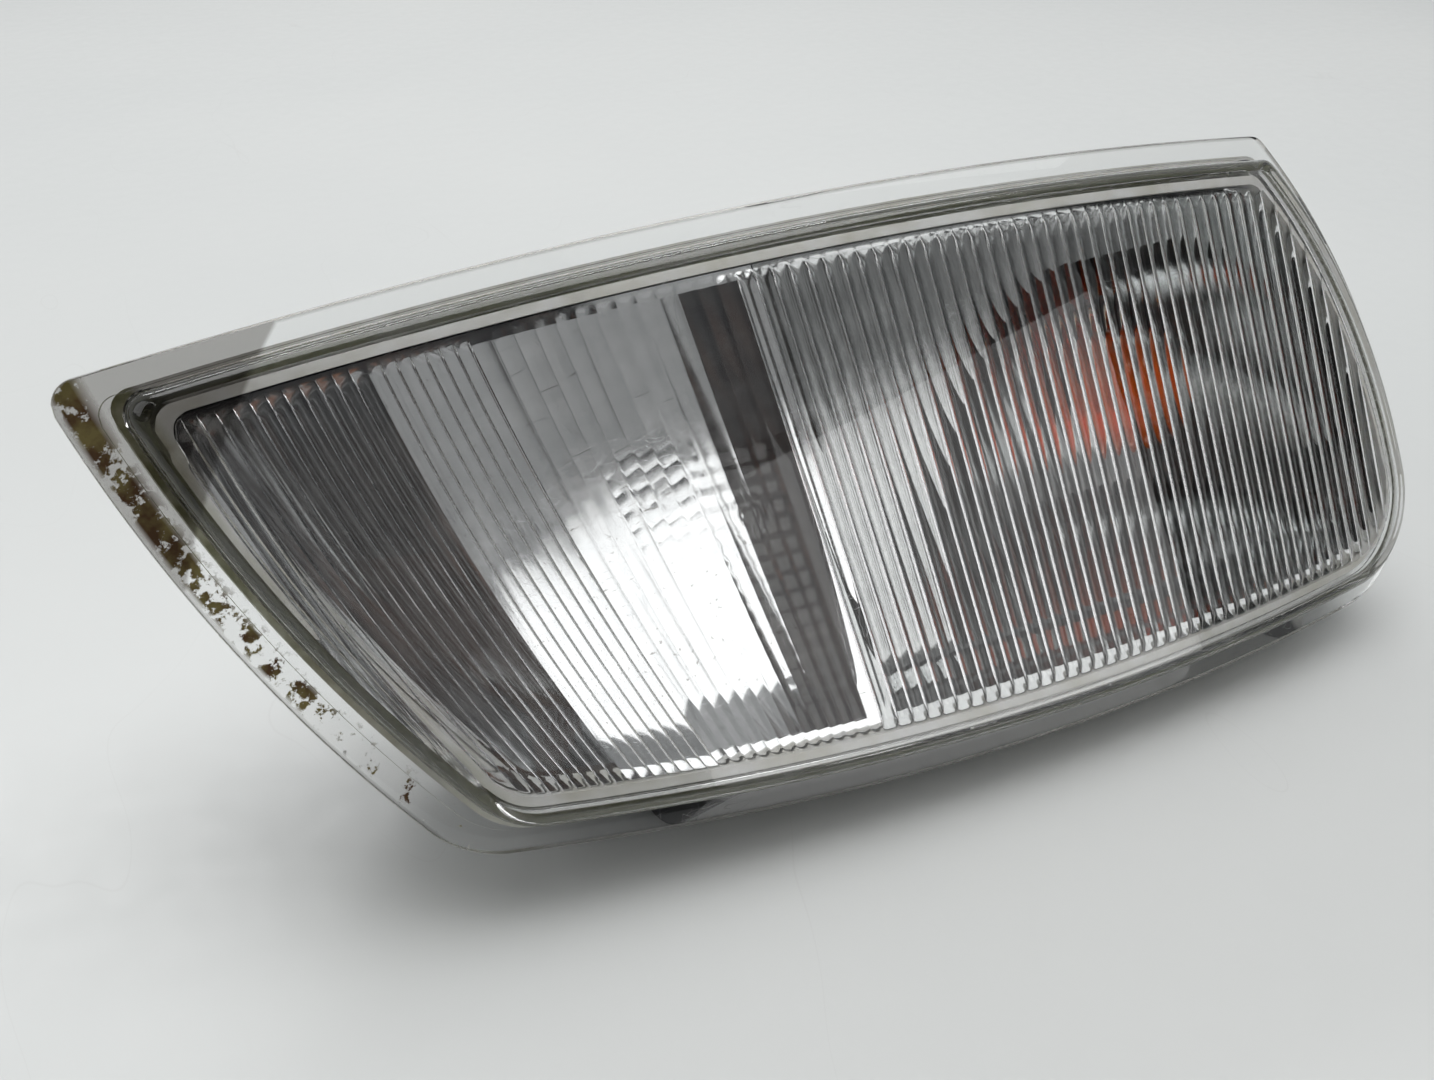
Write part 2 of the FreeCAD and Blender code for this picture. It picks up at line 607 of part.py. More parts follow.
def centre_terminal():
    """Seat for the contact spring with the blade for the plug."""
    seat = along_bulb(4.0, CHAMBER_END_Y, CHAMBER_END_Y + 0.8)
    blade = terminal_blade(CENTRE_BLADE_X, CHAMBER_END_Y)
    return seat.fuse(blade)


def earth_terminal():
    """Blade for the plug with the foot that bears on the sleeve's collar."""
    foot = box((BULB_X + EARTH_BLADE_X - 0.4, BULB_X + HOLDER_BORE_R - 0.1), (SLEEVE_Y[1], SLEEVE_Y[1] + 0.8),
               (BULB_Z - 2.4, BULB_Z + 2.4))
    return foot.fuse(terminal_blade(EARTH_BLADE_X, SLEEVE_Y[1]))


def terminal_blade(x, start_y):
    """Flat blade with a chamfered end."""
    half_t = BLADE[0] / 2
    half_w = BLADE[1] / 2
    corners = [V(0, start_y, -half_w), V(0, start_y, half_w), V(0, BLADE_END_Y - 1.5, half_w),
               V(0, BLADE_END_Y, half_w - 1.2), V(0, BLADE_END_Y, 1.2 - half_w),
               V(0, BLADE_END_Y - 1.5, -half_w)]
    plate = Part.Face(Part.makePolygon(corners + corners[:1])).extrude(V(BLADE[0], 0, 0))
    return plate.translated(V(BULB_X + x - half_t, 0, BULB_Z))


def make_spring():
    """Contact spring between the plunger and its seat, its wire bent in short straight steps."""
    start = CAP_Y[1] + 4.0 + SPRING_WIRE_R
    length = CHAMBER_END_Y - SPRING_WIRE_R - start
    count = int(SPRING_STEPS * SPRING_TURNS)
    points = []
    for k in range(count + 1):
        a = 2 * math.pi * k / SPRING_STEPS
        points.append(V(BULB_X + SPRING_R * math.cos(a), start + length * k / count,
                        BULB_Z + SPRING_R * math.sin(a)))
    wire = [Part.makeSphere(SPRING_WIRE_R, p) for p in points]
    for one, two in zip(points[:-1], points[1:]):
        wire.append(Part.makeCylinder(SPRING_WIRE_R, (two - one).Length, one, two - one))
    return fuse(wire)


def make_holder():
    blades = [centre_terminal(), earth_terminal()]
    save("bulb_holder", make_holder_body().cut(blades))
    save("centre_terminal", blades[0])
    save("earth_terminal", blades[1])
    save("socket_sleeve", make_sleeve())
    save("holder_gasket", ring(TUBE_R + 0.8, HOLDER_FLANGE_R - 1.5, BACK_Y, BACK_Y + GASKET_T))
    front = CAP_Y[1] + 2.0
    save("contact_plunger", revolve_bulb([(0, front), (PLUNGER_R - 0.6, front), (PLUNGER_R, front + 0.6),
                                          (PLUNGER_R, front + 2), (1.8, front + 2), (1.8, front + 3.4),
                                          (0, front + 3.4)]))
    save("contact_spring", make_spring())


# ---- fastenings ----
def make_clip():
    """Spring clip in two pieces that meet at its bend: a fixed base and the arm that flexes."""
    half = CLIP_WIDTH / 2 - 0.2
    base = box((-11, 9), (2.0, 2.0 + CLIP_T), (-half, half))
    hook = box((9 - CLIP_T, 9), (2.0, 4.4), (-half, half))
    bend_out = Part.makeCylinder(4.0, 2 * half, V(-11, 6.0, -half), Z_AXIS)
    bend_in = Part.makeCylinder(4.0 - CLIP_T, 2 * half, V(-11, 6.0, -half), Z_AXIS)
    bend = bend_out.cut(bend_in).common(box((-20, -11), (0, 20), (-10, 10)))
    save("clip_base", clip_frame(fuse([base, hook, bend])))
    run = box((-11, 10), (10 - CLIP_T, 10), (-half, half))
    ramp = [V(10, 10 - CLIP_T, -half), V(16, 13, -half), V(22, 9.4, -half), V(22, 8.2, -half),
            V(16, 11.8, -half), V(10, 10 - 2 * CLIP_T, -half)]
    nose = Part.Face(Part.makePolygon(ramp + ramp[:1])).extrude(V(0, 0, 2 * half))
    tongue = box((9, 10), (10 - 2 * CLIP_T, 10), (-half, half))
    save("clip_arm", clip_frame(fuse([run, nose, tongue])))


def make_screws():
    """Self-tapping screws that hold the main mirror, seen on the housing's back."""
    screws = []
    for x, z in SCREW_PLACES:
        shank = Part.makeCylinder(1.5, WALL + 9, V(x, BACK_Y - WALL - 9, z), Y_AXIS)
        head = Part.makeCylinder(3.4, 2.2, V(x, BACK_Y, z), Y_AXIS)
        rim = [e for e in head.Edges if abs(e.CenterOfMass.y - BACK_Y - 2.2) < 0.1]
        head = head.makeFillet(0.9, rim[:1])
        cross = fuse([box((x - 1.6, x + 1.6), (BACK_Y + 1.0, BACK_Y + 3), (z - 0.4, z + 0.4)),
                      box((x - 0.4, x + 0.4), (BACK_Y + 1.0, BACK_Y + 3), (z - 1.6, z + 1.6))])
        screws.append(shank.fuse(head).cut(cross))
    return Part.makeCompound(screws)


def make_vent():
    """Rubber breather cap: a stem through the wall under a mushroom head with slots."""
    x, z = VENT_PLACE
    stem = Part.makeCylinder(3.0, 5, V(x, BACK_Y - 4, z), Y_AXIS)
    neck = Part.makeCylinder(4.6, 2, V(x, BACK_Y, z), Y_AXIS)
    head = Part.makeCylinder(7.0, 3.4, V(x, BACK_Y + 2, z), Y_AXIS)
    rim = [e for e in head.Edges if abs(e.CenterOfMass.y - BACK_Y - 5.4) < 0.1]
    head = head.makeFillet(1.6, rim[:1])
    slots = [box((-1, 1), (-0.4, 0.9), (3, 9)) for _ in range(4)]
    for k, slot in enumerate(slots):
        slot.rotate(V(0, 0, 0), Y_AXIS, 90 * k)
        slot.translate(V(x, BACK_Y + 2, z))
    duct = Part.makeCylinder(1.4, 8, V(x, BACK_Y - 5, z), Y_AXIS)
    return stem.fuse([neck, head]).cut(slots + [duct])


def make_bush():
    """Steel bush in the tab, which takes the fixing screw."""
    place = V(TAB_X, TAB_HOLE_Y, TAB_Z)
    outer = Part.makeCylinder(SCREW_HOLE_R + BUSH_WALL, TAB_T, place, Z_AXIS)
    lip = Part.makeCylinder(SCREW_HOLE_R + 2.6, 0.8, place + V(0, 0, TAB_T), Z_AXIS)
    hole = Part.makeCylinder(SCREW_HOLE_R, 20, place - V(0, 0, 8), Z_AXIS)
    return outer.fuse(lip).cut(hole)


save("outer_lens", make_lens())
save("lens_seal", make_seal())
make_housing()
save("main_reflector", make_main_reflector())
save("side_reflector", make_side_reflector())
make_bulb()
make_holder()
make_clip()
save("reflector_screws", make_screws())
save("vent_cap", make_vent())
save("tab_bush", make_bush())
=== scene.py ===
import json
import math
import bmesh
import bpy
import numpy as np
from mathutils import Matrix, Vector


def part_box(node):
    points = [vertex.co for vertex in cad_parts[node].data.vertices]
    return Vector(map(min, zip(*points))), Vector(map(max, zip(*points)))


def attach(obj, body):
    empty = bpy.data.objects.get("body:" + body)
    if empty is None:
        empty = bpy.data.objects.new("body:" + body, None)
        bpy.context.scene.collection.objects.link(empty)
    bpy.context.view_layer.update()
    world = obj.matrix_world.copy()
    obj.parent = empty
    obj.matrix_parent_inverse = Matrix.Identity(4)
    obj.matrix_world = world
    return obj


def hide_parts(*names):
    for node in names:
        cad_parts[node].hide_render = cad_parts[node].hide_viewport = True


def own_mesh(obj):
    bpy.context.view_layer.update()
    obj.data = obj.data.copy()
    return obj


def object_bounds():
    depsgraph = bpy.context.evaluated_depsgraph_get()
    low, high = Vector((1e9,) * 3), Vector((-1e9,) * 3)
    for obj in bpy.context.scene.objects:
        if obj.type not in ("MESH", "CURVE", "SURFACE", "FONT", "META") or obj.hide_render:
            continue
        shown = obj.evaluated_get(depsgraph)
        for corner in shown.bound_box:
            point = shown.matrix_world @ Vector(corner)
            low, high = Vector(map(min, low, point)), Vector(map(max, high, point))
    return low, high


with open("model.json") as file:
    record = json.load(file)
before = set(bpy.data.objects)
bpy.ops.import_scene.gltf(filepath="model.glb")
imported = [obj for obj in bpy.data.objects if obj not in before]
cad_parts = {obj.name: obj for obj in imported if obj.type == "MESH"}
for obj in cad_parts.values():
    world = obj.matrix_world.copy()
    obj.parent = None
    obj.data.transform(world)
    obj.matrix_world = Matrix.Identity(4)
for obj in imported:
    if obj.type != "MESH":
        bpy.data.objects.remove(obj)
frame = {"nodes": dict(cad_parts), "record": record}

# Looks of the corner indicator lamp: the fluted lens, the mirrors, the bulb and every finish.
# Lengths below are millimetres in the lens frame (u along the lens, v up its leaning face,
# w out of it) unless a name says otherwise; Blender itself works in metres.
CAD_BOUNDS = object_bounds()
NODES = frame["nodes"]
MM = 0.001
RAKE = math.radians(26)
LENS_ORIGIN = np.array((0.0, -22.0, 55.0))
U_AXIS = np.array((1.0, 0.0, 0.0))
V_AXIS = np.array((0.0, math.sin(RAKE), math.cos(RAKE)))
W_AXIS = np.array((0.0, -math.cos(RAKE), math.sin(RAKE)))
DRUM_R = 800.0


def drum(u, rise):
    """Height of the curved face, rise above the flange's front."""
    return np.sqrt((DRUM_R + rise) ** 2 - u ** 2) - DRUM_R


def to_world(u, v, w):
    """Lens frame in millimetres to Blender metres."""
    points = LENS_ORIGIN + np.outer(u, U_AXIS) + np.outer(v, V_AXIS) + np.outer(w, W_AXIS)
    return points * MM


# ---- the lens outline, as in the CAD: four arcs and four corner fillets ----
SIDES = (
    ((-88.6, -34.0), (-113.4, 8.0), (-125.0, 38.0)),
    ((-121.5, 42.0), (-18.0, 50.9), (90.0, 49.8)),
    ((95.0, 48.5), (115.0, 18.0), (126.0, -24.0)),
    ((110.0, -46.5), (50.0, -50.8), (-64.0, -45.2)),
)
CORNERS = (((-126.0, 42.0), 4.0), ((94.0, 50.0), 4.0), ((126.0, -46.0), 24.0), ((-84.0, -44.0), 18.0))
MIN_CORNER_R = 3.2


def circle_through(a, b, c):
    """Centre and radius of the circle through three points."""
    rows = np.array((np.subtract(b, a), np.subtract(c, a))) * 2.0
    sums = np.array((np.dot(b, b) - np.dot(a, a), np.dot(c, c) - np.dot(a, a)))
    centre = np.linalg.solve(rows, sums)
    return centre, float(np.linalg.norm(np.subtract(a, centre)))


def circles_meet(first, second, near):
    """Crossing point of two circles, nearest to a given point."""
    (c1, r1), (c2, r2) = first, second
    gap = np.linalg.norm(c2 - c1)
    along = (r1 ** 2 - r2 ** 2 + gap ** 2) / (2 * gap)
    off = math.sqrt(r1 ** 2 - along ** 2)
    ex = (c2 - c1) / gap
    ey = np.array((-ex[1], ex[0]))
    options = (c1 + ex * along + ey * off, c1 + ex * along - ey * off)
    return min(options, key=lambda p: np.linalg.norm(p - np.array(near)))


class Outline:
    """The lens outline moved inwards: segments 0, 2, 4, 6 are its sides and the others its fillets."""

    def __init__(self, inset, left_extra=0.0):
        circles = []
        for k, points in enumerate(SIDES):
            centre, radius = circle_through(*points)
            circles.append((centre, radius - inset - (left_extra if k == 0 else 0.0)))
        fillets = []
        for k, (near, corner_r) in enumerate(CORNERS):
            f = max(corner_r - inset, MIN_CORNER_R)
            one, two = circles[k], circles[(k + 1) % 4]
            middle = circles_meet((one[0], one[1] - f), (two[0], two[1] - f), near)
            ends = [c + (middle - c) / np.linalg.norm(middle - c) * r for c, r in (one, two)]
            fillets.append((middle, f, ends[0], ends[1]))
        self.left = circles[0]
        self.segments = []
        for k in range(4):
            start, end = fillets[k - 1][3], fillets[k][2]
            self.segments.append(self.arc(circles[k][0], circles[k][1], start, end))
            self.segments.append(self.arc(*fillets[k]))

    @staticmethod
    def arc(centre, radius, start, end):
        a0 = math.atan2(*(start - centre)[::-1])
        a1 = math.atan2(*(end - centre)[::-1])
        turn = (a1 - a0 + math.pi) % (2 * math.pi) - math.pi
        return centre[0], centre[1], radius, a0, turn

    def at(self, place):
        """Points at places along the outline; the whole part of a place is its segment."""
        place = np.asarray(place, float) % 8.0
        which = np.minimum(place.astype(int), 7)
        cx, cy, r, a0, turn = np.array(self.segments)[which].T
        angle = a0 + turn * (place - which)
        return cx + r * np.cos(angle), cy + r * np.sin(angle)


# ---- flutes: lines that lean and bend with the left side of the lens ----
# A flute line is named by its u at v = 0; LEAN and BEND give its slope and curve there.
LEAN = ((-100, -0.485), (-93.5, -0.446), (-70, -0.368), (-55, -0.35), (-16, -0.155), (57, -0.095),
        (80, -0.10))
BEND = ((-100, 0.0028), (-93.5, 0.0024), (-70, 0.0017), (-55, 0.0014), (-16, 0.0))
BORDER_COLUMN = -100.0
FIRST_FREE_COLUMN = -93.5
LEFT_EXTRA = 3.3
INNER_INSET = 7.2
INNER_RISE = 2.8
# start, end, flutes, kind, height
ZONES = (
    (-100.0, -93.5, 3, "back saw", 0.95),
    (-93.5, -70.3, 10, "saw", 0.75),
    (-70.3, -54.7, 7, "back saw", 0.6),
    (-54.7, -16.0, 13, "round", 0.12),
    (-16.0, 128.0, 48, "round", 0.5),
)
# saw-tooth profile: place across the flute and share of its height
SAW = ((0.0, 0.0), (0.03, 0.2), (0.08, 0.75), (0.16, 1.0), (0.25, 0.86), (0.4, 0.66), (0.6, 0.42), (0.8, 0.2))
ROUND_STEPS = 12
END_MARGIN = 3.2              # plain border inside the rim
END_SLOPE = 0.32              # how steeply the flutes run out at it
BORDER_STEPS = 700            # samples to a segment of the outline
SKIRT_INSET = 5.0
EDGE_R = 2.4
FACE_RISE = 5.5


def column_u(c, v, left):
    """u of a flute line c at height v; the first lines follow the left border."""
    (cx, cy), r = left
    free = np.maximum(c, FIRST_FREE_COLUMN)
    lean = np.interp(free, *zip(*LEAN))
    bend = np.interp(free, *zip(*BEND))
    line = free + lean * v + bend * v * v
    border = cx - np.sqrt(r * r - (v - cy) ** 2)
    share = np.clip((c - BORDER_COLUMN) / (FIRST_FREE_COLUMN - BORDER_COLUMN), 0.0, 1.0)
    return border * (1 - share) + line * share


def column_of(u, v, left):
    """Flute line through a point, by bisection."""
    low, high = np.full(len(u), BORDER_COLUMN), np.full(len(u), 150.0)
    for _ in range(50):
        middle = (low + high) / 2
        less = column_u(middle, v, left) < u
        low, high = np.where(less, middle, low), np.where(less, high, middle)
    return (low + high) / 2


def flute_columns(last):
    """Column places and profile heights, up to the last column that fits."""
    columns, heights = [], []
    for start, end, count, kind, height in ZONES:
        pitch = (end - start) / count
        for k in range(count):
            if kind == "saw":
                shape = SAW
            elif kind == "back saw":
                shape = [(0.0, 0.0)] + [(1 - x, h) for x, h in SAW[:0:-1]]
            else:
                steps = [i / ROUND_STEPS for i in range(ROUND_STEPS)]
                shape = [(x, 1 - (2 * x - 1) ** 2) for x in steps]
            for x, h in shape:
                columns.append(start + (k + x) * pitch)
                heights.append(h * height)
    columns, heights = np.array(columns), np.array(heights)
    keep = columns < last - 0.15
    return np.append(columns[keep], last - 0.05), np.append(heights[keep], 0.0)


ROW_ENDS = (0.0, 0.4, 0.9, 1.6, 2.3, 3.0, 3.4, 3.8, 4.3, 4.9, 5.6, 6.5, 8.0)
ROWS_INSIDE = 88


def row_shares(length):
    """Row places from 0 to 1 along a column, close together near its ends."""
    ends = np.array(ROW_ENDS) * min(1.0, length / 34.0) / length
    inside = np.linspace(ends[-1], 1 - ends[-1], ROWS_INSIDE + 2)[1:-1]
    return np.concatenate((ends, inside, 1 - ends[::-1]))


def distance_to(u, v, line_u, line_v):
    """Distance from many points to a polyline's points."""
    best = np.full(len(u), 1e9)
    for k in range(0, len(line_u), 200):
        du = u[:, None] - line_u[None, k:k + 200]
        dv = v[:, None] - line_v[None, k:k + 200]
        best = np.minimum(best, (du * du + dv * dv).min(axis=1))
    return np.sqrt(best)


def pillows(column, v):
    """Low cushions on part of the clear panel, fading out at its ends, and one small ring among them."""
    inside = np.clip((column + 34.0) / 1.5, 0, 1) * np.clip((-19.0 - column) / 1.5, 0, 1)
    inside *= np.clip((v + 33.0) / 2.0, 0, 1) * np.clip((12.0 - v) / 2.0, 0, 1)
    away = np.hypot(column + 26.0, v - 2.0)
    inside = np.where(away < 3.2, 0.0, inside)
    ring = 0.12 * np.clip(1 - np.abs(away - 2.0) / 0.4, 0, 1)
    return 0.14 * inside * np.abs(np.sin(math.pi * v / 3.2)) + ring


def make_lens():
    """Fluted lens as one closed mesh: front face, rounded rim, flange, tongue and fluted inside."""
    inner = Outline(INNER_INSET, LEFT_EXTRA)
    places = np.linspace(0.0, 8.0, 8 * BORDER_STEPS, endpoint=False)
    bu, bv = inner.at(places)
    bc = column_of(bu, bv, inner.left)
    tip = int(np.argmax(bc))
    upper = (places >= 1.0) & (places <= places[tip])
    lower = places >= places[tip]
    columns, heights = flute_columns(bc[tip])
    top = np.interp(columns, bc[upper], places[upper])
    low_c = np.append(bc[lower], BORDER_COLUMN)[::-1]
    low_p = np.append(places[lower], 8.0)[::-1]
    bottom = np.interp(columns, low_c, low_p)
    top[0], bottom[0] = 1.0, 8.0
    tu, tv = inner.at(top)
    ou, ov = inner.at(bottom)
    n_cols, n_rows = len(columns), 2 * len(ROW_ENDS) + ROWS_INSIDE
    grid_u, grid_v = np.zeros((n_cols, n_rows)), np.zeros((n_cols, n_rows))
    shares = np.zeros((n_cols, n_rows))
    for j, c in enumerate(columns):
        shares[j] = row_shares(tv[j] - ov[j])
        grid_v[j] = ov[j] + (tv[j] - ov[j]) * shares[j]
        grid_u[j] = column_u(np.full(n_rows, c), grid_v[j], inner.left)
    # the border's places, in the order round the grid
    left_places = np.interp(grid_v[0], inner.at(np.linspace(0, 1, 400))[1], np.linspace(0, 1, 400))
    right_places = top[-1] + (bottom[-1] - top[-1]) * (1 - shares[-1])
    index = np.arange(n_cols * n_rows).reshape(n_cols, n_rows)
    loop = np.concatenate((index[0, :-1], index[:-1, -1], index[-1, :0:-1], index[:0:-1, 0]))
    loop_places = np.concatenate((left_places[:-1], top[:-1], right_places[:0:-1], bottom[:0:-1]))
    loop_places[0] = 0.0
    flat_u, flat_v = grid_u.ravel(), grid_v.ravel()
    away_places = np.linspace(1.0, 8.0, 2800)
    away = distance_to(flat_u, flat_v, *inner.at(away_places))
    height = np.repeat(heights, n_rows)
    height = np.minimum(height, np.maximum(0.0, (away - END_MARGIN) * END_SLOPE))
    height += pillows(np.repeat(columns, n_rows), flat_v)
    parts = [to_world(flat_u, flat_v, drum(flat_u, INNER_RISE) - height)]

    def ring(inset, extra, rise):
        u, v = Outline(inset, extra).at(loop_places)
        return to_world(u, v, drum(u, rise))

    # inner wall, tongue, flange and rounded rim, from the inside outwards: inset, more inset on
    # the left, and height above the flange's front
    profile = [(7.2, 3.3, -7.6), (6.8, 3.3, -8.0), (5.4, 3.3, -8.0), (5.0, 3.3, -7.6), (5.0, 3.3, -2.6),
               (4.6, 3.3, -2.2), (0.5, 0.0, -2.2), (0.0, 0.0, -1.7), (0.0, 0.0, -0.7), (0.2, 0.0, -0.2),
               (0.7, 0.0, 0.0), (4.0, 0.8, 0.0), (4.12, 0.8, 0.3), (4.4, 3.3, 0.3),
               (4.8, 3.3, 0.45), (5.0, 3.3, 0.8)]
    for k in range(8):
        a = math.radians(90 * k / 7)
        profile.append((SKIRT_INSET + EDGE_R * (1 - math.cos(a)), LEFT_EXTRA,
                        FACE_RISE - EDGE_R * (1 - math.sin(a))))
    rings = [ring(*p) for p in profile]
    parts += rings
    # front grid: the inner grid stretched out to the front outline
    front = Outline(SKIRT_INSET + EDGE_R, LEFT_EXTRA)
    fu, fv = front.at(top)
    gu, gv = front.at(bottom)
    low_du, low_dv = gu - grid_u[:, 0], gv - grid_v[:, 0]
    top_du, top_dv = fu - grid_u[:, -1], fv - grid_v[:, -1]
    front_u = grid_u + low_du[:, None] * (1 - shares) + top_du[:, None] * shares
    front_v = grid_v + low_dv[:, None] * (1 - shares) + top_dv[:, None] * shares
    fu_all, fv_all = front_u.ravel(), front_v.ravel()
    fu_all[loop], fv_all[loop] = front.at(loop_places)
    parts.append(to_world(fu_all, fv_all, drum(fu_all, FACE_RISE)))

    a, b = index[:-1, :-1].ravel(), index[1:, :-1].ravel()
    c, d = index[1:, 1:].ravel(), index[:-1, 1:].ravel()
    quads = [np.stack((a, b, c, d), 1)]
    n_grid, n_loop = n_cols * n_rows, len(loop)
    front_base = n_grid + len(rings) * n_loop
    quads.append(np.stack((d, c, b, a), 1) + front_base)
    hoops = [loop]
    hoops += [n_grid + k * n_loop + np.arange(n_loop) for k in range(len(rings))]
    hoops.append(loop + front_base)
    for one, two in zip(hoops[:-1], hoops[1:]):
        quads.append(np.stack((one, two, np.roll(two, -1), np.roll(one, -1)), 1))
    return mesh_piece("lens_fluted", np.concatenate(parts), np.concatenate(quads).tolist(), 30)


def mesh_piece(name, points, faces, sharp_degrees=None):
    """Closed, smooth-shaded mesh object with its normals outwards."""
    mesh = bpy.data.meshes.new(name)
    mesh.from_pydata([tuple(p) for p in points.tolist()], [], faces)
    work = bmesh.new()
    work.from_mesh(mesh)
    bmesh.ops.remove_doubles(work, verts=work.verts, dist=1e-7)
    bmesh.ops.recalc_face_normals(work, faces=work.faces)
    work.to_mesh(mesh)
    work.free()
    for polygon in mesh.polygons:
        polygon.use_smooth = True
    if sharp_degrees:
        mesh.set_sharp_from_angle(angle=math.radians(sharp_degrees))
    piece = bpy.data.objects.new(name, mesh)
    bpy.context.scene.collection.objects.link(piece)
    return piece


COIL_TURNS = 3.5
COIL_WIRE_R = 0.00028
COIL_STEPS = 28
WIRE_SIDES = 10


def make_coil(low, high):
    """Round-wire coil spring along Y that fills a box."""
    count = int(COIL_TURNS * COIL_STEPS) + 1
    radius = (high[0] - low[0]) / 2 - COIL_WIRE_R * 1.1
    middle_x, middle_z = (low[0] + high[0]) / 2, (low[2] + high[2]) / 2
    turn = np.linspace(0, 2 * math.pi * COIL_TURNS, count)
    y = np.linspace(low[1] + COIL_WIRE_R * 1.1, high[1] - COIL_WIRE_R * 1.1, count)
    points = []
    for a, height in zip(turn, y):
        for b in np.linspace(0, 2 * math.pi, WIRE_SIDES, endpoint=False):
            reach = radius + COIL_WIRE_R * math.cos(b)
            points.append((middle_x + reach * math.cos(a), height + COIL_WIRE_R * math.sin(b),
                           middle_z + reach * math.sin(a)))
    faces = [list(range(WIRE_SIDES)), list(range((count - 1) * WIRE_SIDES, count * WIRE_SIDES))]
    for k in range(count - 1):
        for i in range(WIRE_SIDES):
            j = (i + 1) % WIRE_SIDES
            faces.append([k * WIRE_SIDES + i, k * WIRE_SIDES + j,
                          (k + 1) * WIRE_SIDES + j, (k + 1) * WIRE_SIDES + i])
    return mesh_piece("contact_coil", np.array(points), faces, 50)


# ---- materials ----
class Material:
    """Small helper that builds a node material step by step."""

    def __init__(self, name):
        self.material = bpy.data.materials.new(name)
        self.material.use_nodes = True
        self.tree = self.material.node_tree
        self.bsdf = self.tree.nodes["Principled BSDF"]
        self.out = self.tree.nodes["Material Output"]
        self.place = self.node("ShaderNodeTexCoord").outputs["Object"]

    def node(self, kind, **settings):
        made = self.tree.nodes.new(kind)
        for key, value in settings.items():
            setattr(made, key, value)
        return made

    def put(self, value, socket):
        if isinstance(value, bpy.types.NodeSocket):
            self.tree.links.new(value, socket)
        elif isinstance(value, (tuple, list)) and len(value) == 3 and len(socket.default_value) == 4:
            socket.default_value = (*value, 1.0)
        else:
            socket.default_value = value

    def set(self, **values):
        for key, value in values.items():
            self.put(value, self.bsdf.inputs[key.replace("_", " ")])
        return self

    def noise(self, scale, detail=4.0, roughness=0.55, stretch=None, place=None):
        """Noise from 0 to 1; scale is in cycles per metre."""
        place = place or self.place
        if stretch:
            mapping = self.node("ShaderNodeMapping")
            self.put(place, mapping.inputs["Vector"])
            mapping.inputs["Scale"].default_value = stretch
            place = mapping.outputs["Vector"]
        made = self.node("ShaderNodeTexNoise")
        self.put(place, made.inputs["Vector"])
        made.inputs["Scale"].default_value = scale
        made.inputs["Detail"].default_value = detail
        made.inputs["Roughness"].default_value = roughness
        return made.outputs["Fac"]

    def ramp(self, value, low, high, start=0.0, end=1.0):
        made = self.node("ShaderNodeMapRange")
        self.put(value, made.inputs["Value"])
        for key, number in (("From Min", low), ("From Max", high), ("To Min", start), ("To Max", end)):
            made.inputs[key].default_value = number
        return made.outputs["Result"]

    def mix(self, factor, one, two):
        """Colour between two colours."""
        made = self.node("ShaderNodeMix", data_type="RGBA")
        self.put(factor, made.inputs[0])
        self.put(one, made.inputs[6])
        self.put(two, made.inputs[7])
        return made.outputs[2]

    def maths(self, operation, one, two=0.0):
        made = self.node("ShaderNodeMath", operation=operation)
        self.put(one, made.inputs[0])
        self.put(two, made.inputs[1])
        return made.outputs[0]

    def axis(self, name):
        made = self.node("ShaderNodeSeparateXYZ")
        self.put(self.place, made.inputs[0])
        return made.outputs[name]

    def along(self, direction):
        """Distance along a direction, in metres."""
        made = self.node("ShaderNodeVectorMath", operation="DOT_PRODUCT")
        self.put(self.place, made.inputs[0])
        made.inputs[1].default_value = direction
        return made.outputs["Value"]

    def bump(self, height, strength=0.3, distance=0.0002):
        made = self.node("ShaderNodeBump")
        made.inputs["Strength"].default_value = strength
        made.inputs["Distance"].default_value = distance
        self.put(height, made.inputs["Height"])
        self.put(made.outputs["Normal"], self.bsdf.inputs["Normal"])
        return self

    def clear_to_light(self, tint=(1.0, 1.0, 1.0), share=0.85):
        """Lets part of the light straight through on shadow rays, as thin clear plastic does."""
        clear = self.node("ShaderNodeBsdfTransparent")
        self.put(tint, clear.inputs["Color"])
        ray = self.node("ShaderNodeLightPath")
        factor = self.maths("MULTIPLY", ray.outputs["Is Shadow Ray"], share)
        blend = self.node("ShaderNodeMixShader")
        self.put(factor, blend.inputs[0])
        self.put(self.bsdf.outputs[0], blend.inputs[1])
        self.put(clear.outputs[0], blend.inputs[2])
        self.put(blend.outputs[0], self.out.inputs["Surface"])
        return self


def scratches(m, scale, width, stretch):
    """Thin random lines, 1 on a line."""
    cells = m.noise(scale, 2.0, 0.5, stretch)
    near = m.maths("ABSOLUTE", m.maths("SUBTRACT", cells, 0.5))
    return m.ramp(near, 0.0, width, 1.0, 0.0)


def lens_frame(m):
    """Sockets for u, v and the height above the flange's curved front, in millimetres."""
    def part(axis):
        start = float(LENS_ORIGIN @ axis)
        return m.maths("SUBTRACT", m.maths("MULTIPLY", m.along(tuple(axis)), 1000.0), start)

    u, v, w = part(U_AXIS), part(V_AXIS), part(W_AXIS)
    far = m.maths("ADD", w, DRUM_R)
    reach = m.maths("SQRT", m.maths("ADD", m.maths("MULTIPLY", u, u), m.maths("MULTIPLY", far, far)))
    return u, v, m.maths("SUBTRACT", reach, DRUM_R)


